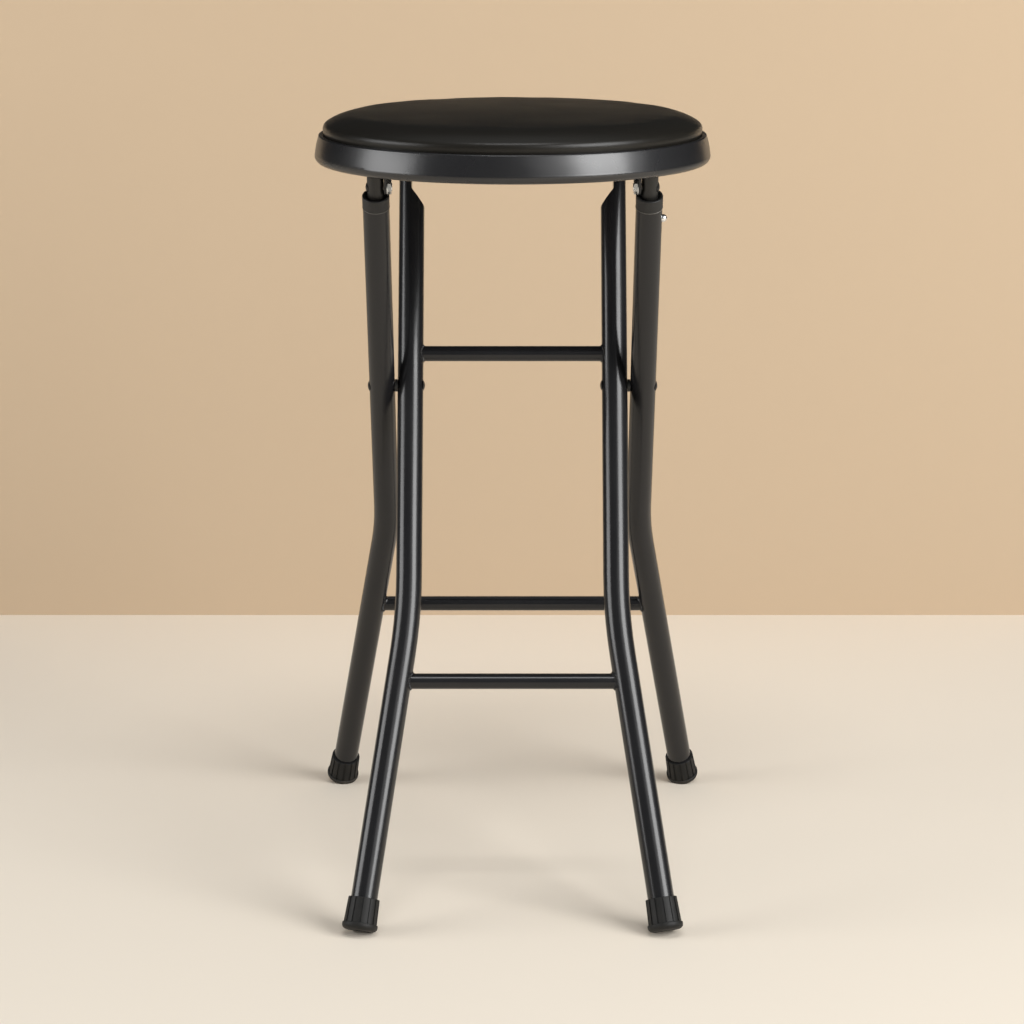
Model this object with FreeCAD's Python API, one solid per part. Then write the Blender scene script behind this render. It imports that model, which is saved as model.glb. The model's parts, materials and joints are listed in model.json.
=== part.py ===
import FreeCAD, Part
import math
import os

os.makedirs("parts", exist_ok=True)

# The folding stool stands open on the floor at z = 0, with the middle of the seat over the origin.
# x runs to the right, y runs away from the front, and all lengths are in millimetres.
# Each leg frame is built upright in the plane y = 0 around its crossing pivots at z = 0, and is
# then leaned over and raised to its place. Places along a leg frame are measured from there.

# Stance
# The crossing stands at a share of the stool's height, and the seat pivots and the inner legs at
# shares of the seat's diameter, so that the legs always come up inside the seat's edge.
stool_height = 610.0
crossing_share = 0.6426
pivot_share = 0.2619
inner_leg_share = 0.5267
inner_foot_spacing = 236.0
outer_foot_spacing = 303.0
leg_side_gap = 2.1

# Leg tubes, with the heights of their bends as shares of the crossing's height
leg_diameter = 20.4
leg_wall = 1.2
inner_bend_share = 0.574
inner_bend_radius = 420.0
outer_bend_share = 0.6735
outer_bend_radius = 240.0

# Pressed tops of the inner legs
tab_thickness = 10.2
tab_taper_length = 13.2
tab_flat_below_pin = 25.3
tab_edge_radius = 1.4

# Crossbars, with their heights as shares of the crossing's height
crossbar_diameter = 12.2
crossbar_wall = 1.0
upper_bar_share = 1.0602
footrest_bar_share = 0.4531
rear_bar_share = 0.4737
weld_fillet = 2.0
weld_edge_points = 7

# Seat
seat_diameter = 308.3
band_height = 21.7
cushion_rise = 17.8
pan_wall = 1.4
band_inset = 2.8
band_roll = 5.2
band_belly_rise = 7.1
band_swell = 1.2
band_hem = 8.0
tray_depth = 6.0
tray_rim_gap = 1.15
tray_rim_radius = 1.2
board_thickness = 9.0
cushion_skin = 5.0
cushion_overhang = 0.9
cushion_crown = 1.6
cushion_roll_width = 24.5
cushion_edge_radius = 6.0
cushion_seam_rise = 4.4
cushion_seam_share = 0.45

# Pad screws
screw_diameter = 3.6
screw_head_diameter = 8.0
screw_head_height = 2.2
screw_length = 8.5
screw_circle_share = 0.3827
screw_count = 4

# Brackets and their rivets
pin_drop = 10.2
plate_thickness = 2.0
plate_bend_radius = 3.6
bracket_width = 27.0
bracket_flange = 26.0
ear_radius = 6.4
bracket_rivet_diameter = 4.0
bracket_rivet_head_diameter = 7.4
bracket_rivet_head_height = 1.6
bracket_rivet_spacing = 14.0

# Front pivot hardware
front_bolt_diameter = 6.0
front_bolt_head_diameter = 8.0
front_bolt_head_height = 1.2
nut_width = 10.0
nut_sides = 6
nut_height = 2.8
nut_chamfer = 0.7
washer_diameter = 12.0
washer_thickness = 0.7
bolt_end_overrun = 0.5

# Rear pivot rivets
rear_rivet_diameter = 6.0
rear_rivet_head_diameter = 9.0
rear_rivet_head_height = 2.4
rear_rivet_outer_head_height = 1.2

# Crossing pivots
crossing_rivet_diameter = 5.4
crossing_rivet_head_diameter = 8.4
crossing_rivet_head_height = 1.3
crossing_spacer_diameter = 10.0

# Slides
slide_tube_diameter = 12.6
slide_tube_wall = 1.2
slide_tube_above_pin = 13.5
slide_tail_share = 0.247
fork_gap = 0.3
collar_height = 10.5
collar_insert = 8.0
collar_proud = 0.15
collar_dish_depth = 2.2
collar_lip = 1.6
collar_edge_radius = 0.8
glide_length = 9.0
glide_end_gap = 1.5

# Lock button and its leaf spring
button_diameter = 6.0
button_below_collar = 10.2
button_proud = 3.7
button_travel = 3.4
button_root_depth = 3.2
leaf_thickness = 0.4
leaf_width = 5.0
leaf_length = 38.0
leaf_pad_length = 8.0
leaf_joggle_length = 9.0

# Foot caps
cap_length = 25.0
cap_top_diameter = 24.2
cap_bottom_diameter = 25.6
cap_flange_diameter = 27.4
cap_flange_height = 5.5
cap_sole_thickness = 6.5
cap_sole_radius = 3.6
cap_top_radius = 0.7
cap_flange_radius = 0.7
cap_groove_count = 14
cap_groove_width = 1.6
cap_groove_depth = 0.7
cap_wear_depth = 1.1

# Clearances
fit_gap = 0.05
guide_gap = 0.1
side_gap = 0.4
ear_gap = 0.9
soft_gap = 0.3
folded_gap = 0.5
overrun = 2.0

# Sizes that follow from the ones above
leg_radius = leg_diameter / 2
leg_bore_radius = leg_radius - leg_wall
crossbar_radius = crossbar_diameter / 2
slide_radius = slide_tube_diameter / 2
seat_radius = seat_diameter / 2
screw_circle_radius = seat_diameter * screw_circle_share
inner_x = seat_diameter * inner_leg_share / 2
outer_x = inner_x + leg_diameter + leg_side_gap
crossing_height = stool_height * crossing_share
inner_bend_height = crossing_height * inner_bend_share
outer_bend_height = crossing_height * outer_bend_share
upper_bar_height = crossing_height * upper_bar_share
footrest_bar_height = crossing_height * footrest_bar_share
rear_bar_height = crossing_height * rear_bar_share
seam_height = stool_height - cushion_rise
band_bottom = seam_height - band_height
tray_height = seam_height - tray_depth
shelf_under = tray_height - pan_wall
pin_height = band_bottom - pin_drop
pin_y = seat_diameter * pivot_share
lean = math.atan(pin_y / (pin_height - crossing_height))
arm_length = (pin_height - crossing_height) / math.cos(lean)
slide_tube_tail = arm_length * slide_tail_share
tab_flat_x = inner_x + leg_radius - tab_thickness
collar_top = arm_length - ear_radius - ear_gap
outer_leg_top = collar_top - collar_height
button_place = outer_leg_top - button_below_collar

# How far the frames fold and what that asks of the slides
# The inner legs stop against the rear crossbar.
rear_bar_place = (rear_bar_height - crossing_height) / math.cos(lean)
folded_angle = math.asin((leg_radius + crossbar_radius + folded_gap) / -rear_bar_place)
fold_travel = 2 * lean - folded_angle
pin_distance = 2 * pin_y
folded_seat_angle = math.asin(arm_length * math.sin(folded_angle) / pin_distance)
folded_arm = arm_length * math.cos(folded_angle) + pin_distance * math.cos(folded_seat_angle)
slide_travel = folded_arm - arm_length
seat_swing = math.pi / 2 + lean - folded_angle - folded_seat_angle

# How far the middle of a quarter round stands in from its corner, as a share of its radius
turn_share = 1 - math.sqrt(0.5)

origin = FreeCAD.Vector(0, 0, 0)
x_axis = FreeCAD.Vector(1, 0, 0)
y_axis = FreeCAD.Vector(0, 1, 0)
z_axis = FreeCAD.Vector(0, 0, 1)


def vec(x, y, z):
    return FreeCAD.Vector(x, y, z)


def along(height):
    return (height - crossing_height) / math.cos(lean)


def lean_back(shape):
    leaned = shape.copy()
    leaned.rotate(origin, x_axis, -math.degrees(lean))
    leaned.translate(vec(0, 0, crossing_height))
    return leaned


def lean_forward(shape):
    leaned = shape.copy()
    leaned.rotate(origin, x_axis, math.degrees(lean))
    leaned.translate(vec(0, 0, crossing_height))
    return leaned


def mirrored(shape):
    return shape.mirror(origin, x_axis)


def save(node, shape):
    shape.exportStep("parts/" + node + ".step")


def save_pair(node, right_shape):
    save(node + "_right", right_shape)
    save(node + "_left", mirrored(right_shape))


def cylinder_x(radius, start_x, end_x, y, z):
    return Part.makeCylinder(radius, end_x - start_x, vec(start_x, y, z), x_axis)


def box_between(low, high):
    size = high.sub(low)
    return Part.makeBox(size.x, size.y, size.z, low)


def turned(points_and_arcs):
    # A closed outline in the plane y = 0, turned about the z axis. An item of two points is a
    # line, and one of three is an arc through its middle point.
    edges = []
    for item in points_and_arcs:
        places = [vec(r, 0, z) for r, z in item]
        if len(places) == 3:
            edges.append(Part.Arc(*places).toShape())
        else:
            edges.append(Part.makeLine(*places))
    face = Part.Face(Part.Wire(edges))
    return face.revolve(origin, z_axis, 360)


def prism_x(outline, start_x, end_x):
    # A closed outline of y and z places, drawn out along x.
    places = [vec(start_x, y, z) for y, z in outline]
    face = Part.Face(Part.makePolygon(places + places[:1]))
    return face.extrude(vec(end_x - start_x, 0, 0))


def prism_y(outline, half_width):
    # A closed outline of x and z places, drawn out both ways along y.
    places = [vec(x, -half_width, z) for x, z in outline]
    face = Part.Face(Part.makePolygon(places + places[:1]))
    return face.extrude(vec(0, 2 * half_width, 0))


def dome_x(radius, height, base_x, y, z, direction):
    # A shallow domed head whose flat base stands at base_x.
    sphere_radius = (radius * radius + height * height) / (2 * height)
    centre_x = base_x + direction * (height - sphere_radius)
    ball = Part.makeSphere(sphere_radius, vec(centre_x, y, z))
    ends = sorted([base_x, base_x + direction * height])
    return ball.common(cylinder_x(radius, ends[0], ends[1], y, z))


# Leg tubes, each a straight upper run, a bend that turns it outwards and a straight lower run

def splay_of(top_x, foot_x, bend_height):
    return math.atan((foot_x - top_x) / (along(bend_height) - along(0)))


def leg_rod(radius, top_x, top, bend, bend_radius, splay, lower_length):
    bend_share = math.tan(splay / 2)
    bend_start = bend + bend_radius * bend_share
    upper = Part.makeCylinder(radius, top - bend_start, vec(top_x, 0, bend_start), z_axis)
    ring = Part.Wire([Part.Circle(vec(top_x, 0, bend_start), z_axis, radius).toShape()])
    pivot = vec(top_x + bend_radius, 0, bend_start)
    elbow = Part.Face(ring).revolve(pivot, vec(0, -1, 0), math.degrees(splay))
    down = vec(math.sin(splay), 0, -math.cos(splay))
    corner = vec(top_x, 0, bend)
    lower_start = corner + down * (bend_radius * bend_share)
    lower_run = lower_length - bend_radius * bend_share
    lower = Part.makeCylinder(radius, lower_run, lower_start, down)
    return upper.fuse([elbow, lower]).removeSplitter()


def cap_sole_height(splay):
    # Height of the middle of the cap's sole when its lowest edge is worn flat on the floor.
    tilt = math.acos(math.cos(splay) * math.cos(lean))
    edge = (cap_flange_diameter / 2 - cap_sole_radius) * math.sin(tilt)
    return edge + cap_sole_radius * (1 - math.cos(tilt)) - cap_wear_depth


def sole_distance(bend, splay):
    # Distance down the lower run from the bend's corner to the sole.
    drop = crossing_height + bend * math.cos(lean) - cap_sole_height(splay)
    return drop / (math.cos(splay) * math.cos(lean))


inner_splay = splay_of(inner_x, inner_foot_spacing / 2, inner_bend_height)
outer_splay = splay_of(outer_x, outer_foot_spacing / 2, outer_bend_height)
inner_bend = along(inner_bend_height)
outer_bend = along(outer_bend_height)
inner_lower = sole_distance(inner_bend, inner_splay) - cap_sole_thickness - fit_gap
outer_lower = sole_distance(outer_bend, outer_splay) - cap_sole_thickness - fit_gap


def inner_rod(radius, top, extra):
    return leg_rod(
        radius, inner_x, top, inner_bend, inner_bend_radius, inner_splay, inner_lower + extra
    )


def outer_rod(radius, top, extra):
    return leg_rod(
        radius, outer_x, top, outer_bend, outer_bend_radius, outer_splay, outer_lower + extra
    )


def pressed_side(shift):
    # What pressing takes off the inner side of an inner leg's top.
    taper_end = arm_length - tab_flat_below_pin
    taper_start = taper_end - tab_taper_length
    tube_side_x = inner_x - leg_radius
    slope = tab_taper_length / (tab_flat_x - tube_side_x)
    out_x = tube_side_x - overrun
    top = arm_length + leg_diameter
    outline = [
        (out_x + shift, taper_start - overrun * slope),
        (tab_flat_x + shift, taper_end),
        (tab_flat_x + shift, top),
        (out_x + shift, top),
    ]
    return prism_y(outline, leg_radius + overrun)


def rounded_end():
    # What a half round end at the pivot takes off a tab.
    low = vec(inner_x - leg_diameter, -leg_diameter, arm_length)
    high = vec(inner_x + leg_diameter, leg_diameter, arm_length + leg_diameter)
    round_end = cylinder_x(leg_radius, low.x, high.x, 0, arm_length)
    return box_between(low, high).cut(round_end)


def pressed_edges(shape):
    # The edges that bound the pressed flat and its taper.
    found = []
    for edge in shape.Edges:
        box = edge.BoundBox
        in_flat = abs(box.XMin - tab_flat_x) < fit_gap and abs(box.XMax - tab_flat_x) < fit_gap
        if in_flat and box.ZLength > tab_flat_below_pin:
            found.append(edge)
    return found


def make_inner_leg():
    tab_top = arm_length + leg_radius
    outside = inner_rod(leg_radius, tab_top, 0).cut(pressed_side(0))
    outside = outside.makeFillet(tab_edge_radius, pressed_edges(outside))
    outside = outside.cut(rounded_end())
    inside = inner_rod(leg_bore_radius, tab_top + overrun, overrun).cut(pressed_side(leg_wall))
    pivot_hole = cylinder_x(
        crossing_rivet_diameter / 2 + fit_gap, inner_x - leg_diameter, inner_x + leg_diameter, 0, 0
    )
    pin_hole = cylinder_x(
        rear_rivet_diameter / 2 + fit_gap,
        inner_x - leg_diameter,
        inner_x + leg_diameter,
        0,
        arm_length,
    )
    return outside.cut([inside, pivot_hole, pin_hole])


def make_outer_leg():
    outside = outer_rod(leg_radius, outer_leg_top, 0)
    inside = outer_rod(leg_bore_radius, outer_leg_top + overrun, overrun)
    pivot_hole = cylinder_x(
        crossing_rivet_diameter / 2 + fit_gap, outer_x - leg_diameter, outer_x + leg_diameter, 0, 0
    )
    return outside.cut([inside, pivot_hole])


def make_button_hole():
    return cylinder_x(
        button_diameter / 2 + guide_gap, outer_x, outer_x + leg_diameter, 0, button_place
    )


# Crossbars, coped round the legs, with a hollow weld fillet at each end

def weld_edges(joined, place):
    # The curves where the bar meets the legs are the ones that lie on the bar and aren't straight.
    found = []
    for edge in joined.Edges:
        if isinstance(edge.Curve, Part.Line):
            continue
        reaches = [math.hypot(at.y, at.z - place) for at in edge.discretize(weld_edge_points)]
        if max(abs(reach - crossbar_radius) for reach in reaches) < fit_gap:
            found.append(edge)
    return found


def make_crossbar(rod, place, end_x):
    leg = rod(leg_radius, outer_leg_top, 0)
    clear_leg = rod(leg_radius + fit_gap, outer_leg_top, 0)
    bar = cylinder_x(crossbar_radius, -end_x, end_x, 0, place)
    joined = bar.fuse([leg, mirrored(leg)])
    welded = joined.makeFillet(weld_fillet, weld_edges(joined, place))
    bore = cylinder_x(crossbar_radius - crossbar_wall, -end_x, end_x, 0, place)
    return welded.cut([clear_leg, mirrored(clear_leg), bore])


def bar_end(top_x, bend, splay, place):
    # Where a leg's axis is, sideways, at a place along the frame.
    if place > bend:
        return top_x
    return top_x + (bend - place) * math.tan(splay)


# Foot caps, with grooves round the sides and a flange at the sole

def make_cap():
    top_radius = cap_top_diameter / 2
    bottom_radius = cap_bottom_diameter / 2
    flange_radius = cap_flange_diameter / 2
    socket_radius = leg_radius + fit_gap
    sole_turn = cap_sole_radius * turn_share
    lip_turn = cap_flange_radius * turn_share
    mouth_turn = cap_top_radius * turn_share
    outline = [
        [(0, 0), (flange_radius - cap_sole_radius, 0)],
        [
            (flange_radius - cap_sole_radius, 0),
            (flange_radius - sole_turn, sole_turn),
            (flange_radius, cap_sole_radius),
        ],
        [(flange_radius, cap_sole_radius), (flange_radius, cap_flange_height - cap_flange_radius)],
        [
            (flange_radius, cap_flange_height - cap_flange_radius),
            (flange_radius - lip_turn, cap_flange_height - lip_turn),
            (flange_radius - cap_flange_radius, cap_flange_height),
        ],
        [(flange_radius - cap_flange_radius, cap_flange_height), (bottom_radius, cap_flange_height)],
        [(bottom_radius, cap_flange_height), (top_radius, cap_length - cap_top_radius)],
        [
            (top_radius, cap_length - cap_top_radius),
            (top_radius - mouth_turn, cap_length - mouth_turn),
            (top_radius - cap_top_radius, cap_length),
        ],
        [(top_radius - cap_top_radius, cap_length), (socket_radius, cap_length)],
        [(socket_radius, cap_length), (socket_radius, cap_sole_thickness)],
        [(socket_radius, cap_sole_thickness), (0, cap_sole_thickness)],
        [(0, cap_sole_thickness), (0, 0)],
    ]
    cap = turned(outline)
    groove_low = vec(bottom_radius - cap_groove_depth, -cap_groove_width / 2, cap_flange_height)
    groove_high = vec(flange_radius, cap_groove_width / 2, cap_length + overrun)
    side_lean = math.atan((bottom_radius - top_radius) / (cap_length - cap_flange_height))
    grooves = []
    for index in range(cap_groove_count):
        groove = box_between(groove_low, groove_high)
        groove.rotate(groove_low, y_axis, -math.degrees(side_lean))
        groove.rotate(origin, z_axis, 360 * (index + 0.5) / cap_groove_count)
        grooves.append(groove)
    return cap.cut(grooves)


def placed_cap(cap, top_x, bend, splay, lean_over):
    reach = sole_distance(bend, splay)
    place = cap.copy()
    place.rotate(origin, y_axis, -math.degrees(splay))
    place.translate(vec(top_x + reach * math.sin(splay), 0, bend - reach * math.cos(splay)))
    place = lean_over(place)
    floor_low = vec(0, -stool_height, -cap_length)
    floor_high = vec(seat_diameter, stool_height, 0)
    return place.cut(box_between(floor_low, floor_high))


# Guide collars in the outer legs, and the slide tubes that run in them

def spring_channel(bottom, top):
    # The lengthwise channel in a collar that clears the leaf spring and the button.
    half = button_diameter / 2 + side_gap
    low = vec(outer_x + slide_radius / 2, -half, bottom)
    high = vec(outer_x + leg_radius - leg_wall + fit_gap, half, top)
    return box_between(low, high)


def make_collar():
    band_radius = leg_radius + collar_proud
    insert_radius = leg_bore_radius - fit_gap
    bore_radius = slide_radius + guide_gap
    insert_bottom = outer_leg_top - collar_insert
    dish_radius = band_radius - collar_lip
    edge_turn = collar_edge_radius * turn_share
    outline = [
        [(bore_radius, insert_bottom), (insert_radius, insert_bottom)],
        [(insert_radius, insert_bottom), (insert_radius, outer_leg_top)],
        [(insert_radius, outer_leg_top), (band_radius, outer_leg_top)],
        [(band_radius, outer_leg_top), (band_radius, collar_top - collar_edge_radius)],
        [
            (band_radius, collar_top - collar_edge_radius),
            (band_radius - edge_turn, collar_top - edge_turn),
            (band_radius - collar_edge_radius, collar_top),
        ],
        [(band_radius - collar_edge_radius, collar_top), (dish_radius, collar_top)],
        [(dish_radius, collar_top), (bore_radius, collar_top - collar_dish_depth)],
        [(bore_radius, collar_top - collar_dish_depth), (bore_radius, insert_bottom)],
    ]
    collar = turned(outline)
    collar.translate(vec(outer_x, 0, 0))
    return collar.cut(spring_channel(insert_bottom - overrun, outer_leg_top))


slide_bottom = -slide_tube_tail
slide_length = arm_length + slide_tube_above_pin + slide_tube_tail


def fork_slot():
    # The slot in a slide tube's lower end that lets it pass the crossing rivet. Its closed end
    # comes down on the rivet when the stool is open.
    half = crossing_rivet_diameter / 2 + fork_gap
    low = vec(outer_x - leg_radius, -half, slide_bottom - overrun)
    high = vec(outer_x + leg_radius, half, crossing_rivet_diameter / 2 + fork_gap)
    return box_between(low, high)


def make_glides():
    # Two half rings round the end of a slide tube, which keep it in the middle of the leg.
    bottom = slide_bottom + glide_end_gap
    ring = Part.makeCylinder(
        leg_bore_radius - guide_gap, glide_length, vec(outer_x, 0, bottom), z_axis
    )
    bore = Part.makeCylinder(slide_radius + fit_gap, glide_length, vec(outer_x, 0, bottom), z_axis)
    return ring.cut([bore, fork_slot()])


def make_slide_tube(with_slot):
    outside = Part.makeCylinder(slide_radius, slide_length, vec(outer_x, 0, slide_bottom), z_axis)
    inside = Part.makeCylinder(
        slide_radius - slide_tube_wall,
        slide_length + 2 * overrun,
        vec(outer_x, 0, slide_bottom - overrun),
        z_axis,
    )
    pin_hole = cylinder_x(
        front_bolt_diameter / 2 + fit_gap, outer_x - leg_diameter, outer_x + leg_diameter, 0, arm_length
    )
    tube = outside.cut([inside, pin_hole, fork_slot()])
    if not with_slot:
        return tube
    half = button_diameter / 2 + side_gap
    low = vec(outer_x + slide_radius / 2, -half, button_place - slide_travel - half)
    high = vec(outer_x + leg_radius, half, button_place + half)
    return tube.cut(box_between(low, high))


# Button and leaf spring

button_root_x = outer_x + leg_radius - button_root_depth


def make_button():
    radius = button_diameter / 2
    ball_x = outer_x + leg_radius + button_proud - radius
    shank = cylinder_x(radius, button_root_x, ball_x, 0, button_place)
    ball = Part.makeSphere(radius, vec(ball_x, 0, button_place))
    return shank.fuse(ball).removeSplitter()


def make_leaf():
    top = button_place + leaf_width / 2
    bottom = top - leaf_length
    pad_top = bottom + leaf_pad_length
    blade_bottom = pad_top + leaf_joggle_length
    wall_x = outer_x + math.sqrt(leg_bore_radius ** 2 - (leaf_width / 2) ** 2) - fit_gap
    outline = [
        (button_root_x - leaf_thickness, top),
        (button_root_x, top),
        (button_root_x, blade_bottom),
        (wall_x, pad_top),
        (wall_x, bottom),
        (wall_x - leaf_thickness, bottom),
        (wall_x - leaf_thickness, pad_top),
        (button_root_x - leaf_thickness, blade_bottom),
    ]
    return prism_y(outline, leaf_width / 2)


# Pivot hardware

def make_crossing_rivet():
    shank_radius = crossing_rivet_diameter / 2
    head_radius = crossing_rivet_head_diameter / 2
    inner_base = inner_x - leg_radius - guide_gap
    outer_base = outer_x + leg_radius
    shank = cylinder_x(shank_radius, inner_base, outer_base, 0, 0)
    inner_head = dome_x(head_radius, crossing_rivet_head_height, inner_base, 0, 0, -1)
    outer_head = dome_x(head_radius, crossing_rivet_head_height, outer_base, 0, 0, 1)
    skirt = cylinder_x(head_radius, outer_base - leg_wall, outer_base, 0, 0)
    skirt = skirt.cut(outer_rod(leg_radius + fit_gap, outer_leg_top, 0))
    return shank.fuse([inner_head, outer_head, skirt]).removeSplitter()


def make_crossing_spacer():
    start_x = inner_x + leg_radius + guide_gap
    end_x = outer_x - leg_radius - guide_gap
    disc = cylinder_x(crossing_spacer_diameter / 2, start_x, end_x, 0, 0)
    hole = cylinder_x(crossing_rivet_diameter / 2 + fit_gap, start_x, end_x, 0, 0)
    return disc.cut(hole)


front_ear_x = outer_x - slide_radius - side_gap
rear_ear_x = tab_flat_x - side_gap


def make_front_bolt():
    # Head and shank as far as the inner side of the slide tube.
    head_radius = front_bolt_head_diameter / 2
    base_x = outer_x + slide_radius
    shank = cylinder_x(front_bolt_diameter / 2, outer_x - slide_radius, base_x, 0, arm_length)
    head = dome_x(head_radius, front_bolt_head_height, base_x, 0, arm_length, 1)
    skirt = cylinder_x(head_radius, base_x - slide_radius / 2, base_x, 0, arm_length)
    tube = Part.makeCylinder(
        slide_radius + fit_gap, 2 * leg_diameter, vec(outer_x, 0, arm_length - leg_diameter), z_axis
    )
    return shank.fuse([head, skirt.cut(tube)]).removeSplitter()


def make_front_bolt_end():
    # The rest of the bolt, from the bracket inwards past the nut.
    end_x = front_ear_x - plate_thickness - washer_thickness - nut_height - bolt_end_overrun
    return cylinder_x(front_bolt_diameter / 2 - fit_gap, end_x, front_ear_x, -pin_y, pin_height)


def make_washer():
    end_x = front_ear_x - plate_thickness
    start_x = end_x - washer_thickness
    disc = cylinder_x(washer_diameter / 2, start_x, end_x, -pin_y, pin_height)
    return disc.cut(cylinder_x(front_bolt_diameter / 2, start_x, end_x, -pin_y, pin_height))


def make_nut():
    end_x = front_ear_x - plate_thickness - washer_thickness
    start_x = end_x - nut_height
    corner_radius = nut_width / 2 / math.cos(math.pi / nut_sides)
    corners = []
    for index in range(nut_sides):
        angle = 2 * math.pi * (index + 0.5) / nut_sides
        corners.append(
            (-pin_y + corner_radius * math.cos(angle), pin_height + corner_radius * math.sin(angle))
        )
    body = prism_x(corners, start_x, end_x)
    cone_radius = corner_radius - nut_chamfer
    cone = Part.makeCone(
        cone_radius, cone_radius + nut_height, nut_height, vec(start_x, -pin_y, pin_height), x_axis
    )
    hole = cylinder_x(front_bolt_diameter / 2, start_x, end_x, -pin_y, pin_height)
    return body.common(cone).cut(hole)


def make_rear_rivet():
    # Its heads stand clear of the tab, which turns on its shank.
    radius = rear_rivet_diameter / 2
    head_radius = rear_rivet_head_diameter / 2
    inner_base = rear_ear_x - plate_thickness
    outer_base = inner_x + leg_radius + guide_gap
    shank = cylinder_x(radius, inner_base, outer_base, pin_y, pin_height)
    inner_head = dome_x(head_radius, rear_rivet_head_height, inner_base, pin_y, pin_height, -1)
    outer_head = dome_x(
        head_radius, rear_rivet_outer_head_height, outer_base, pin_y, pin_height, 1
    )
    return shank.fuse([inner_head, outer_head]).removeSplitter()


# Brackets, bent from plate, riveted under the pan, with an ear down to the pivot

def bracket_rivet_places(ear_x, middle_y):
    rivet_x = ear_x - (bracket_flange + plate_bend_radius) / 2
    half = bracket_rivet_spacing / 2
    return [(rivet_x, middle_y - half), (rivet_x, middle_y + half)]


def make_bracket(ear_x, middle_y, hole_radius):
    low_z = pin_height - ear_radius
    inner_radius = plate_bend_radius - plate_thickness
    centre_x = ear_x - plate_bend_radius
    centre_z = shelf_under - plate_bend_radius
    low_y = middle_y - bracket_width / 2

    def at(x, z):
        return vec(x, low_y, z)

    def turn(radius):
        reach = radius * (1 - turn_share)
        return Part.Arc(
            at(centre_x + radius, centre_z),
            at(centre_x + reach, centre_z + reach),
            at(centre_x, centre_z + radius),
        ).toShape()

    flange_end_x = ear_x - bracket_flange
    edges = [
        Part.makeLine(at(ear_x, low_z), at(ear_x, centre_z)),
        turn(plate_bend_radius),
        Part.makeLine(at(centre_x, shelf_under), at(flange_end_x, shelf_under)),
        Part.makeLine(at(flange_end_x, shelf_under), at(flange_end_x, shelf_under - plate_thickness)),
        Part.makeLine(
            at(flange_end_x, shelf_under - plate_thickness),
            at(centre_x, shelf_under - plate_thickness),
        ),
        turn(inner_radius),
        Part.makeLine(at(ear_x - plate_thickness, centre_z), at(ear_x - plate_thickness, low_z)),
        Part.makeLine(at(ear_x - plate_thickness, low_z), at(ear_x, low_z)),
    ]
    angle = Part.Face(Part.Wire(Part.sortEdges(edges)[0])).extrude(vec(0, bracket_width, 0))
    half = bracket_width / 2
    taper_top = shelf_under - plate_bend_radius - plate_thickness
    side = [
        (middle_y - half, shelf_under),
        (middle_y - half, taper_top),
        (middle_y - ear_radius, pin_height),
        (middle_y + ear_radius, pin_height),
        (middle_y + half, taper_top),
        (middle_y + half, shelf_under),
    ]
    start_x = flange_end_x - overrun
    end_x = ear_x + overrun
    keep = prism_x(side, start_x, end_x).fuse(
        cylinder_x(ear_radius, start_x, end_x, middle_y, pin_height)
    )
    bracket = angle.common(keep)
    holes = [cylinder_x(hole_radius, start_x, end_x, middle_y, pin_height)]
    for x, y in bracket_rivet_places(ear_x, middle_y):
        holes.append(
            Part.makeCylinder(
                bracket_rivet_diameter / 2 + fit_gap,
                2 * plate_bend_radius,
                vec(x, y, shelf_under - plate_bend_radius),
                z_axis,
            )
        )
    return bracket.cut(holes)


def make_bracket_rivet(x, y):
    head_radius = bracket_rivet_head_diameter / 2
    head_height = bracket_rivet_head_height
    base_z = shelf_under - plate_thickness
    shank = Part.makeCylinder(
        bracket_rivet_diameter / 2, tray_height - base_z, vec(x, y, base_z), z_axis
    )
    ball_radius = (head_radius ** 2 + head_height ** 2) / (2 * head_height)
    ball = Part.makeSphere(ball_radius, vec(x, y, base_z - head_height + ball_radius))
    head = ball.common(
        Part.makeCylinder(head_radius, head_height, vec(x, y, base_z - head_height), z_axis)
    )
    return shank.fuse(head).removeSplitter()


all_bracket_rivets = []
for ear_x, middle_y in ((front_ear_x, -pin_y), (rear_ear_x, pin_y)):
    for x, y in bracket_rivet_places(ear_x, middle_y):
        all_bracket_rivets.append((x, y))
        all_bracket_rivets.append((-x, y))

screw_places = []
for index in range(screw_count):
    angle = 2 * math.pi * index / screw_count
    screw_places.append(
        (screw_circle_radius * math.cos(angle), screw_circle_radius * math.sin(angle))
    )


# Seat

tray_radius = seat_radius - band_inset - 2 * pan_wall - tray_rim_gap


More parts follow.
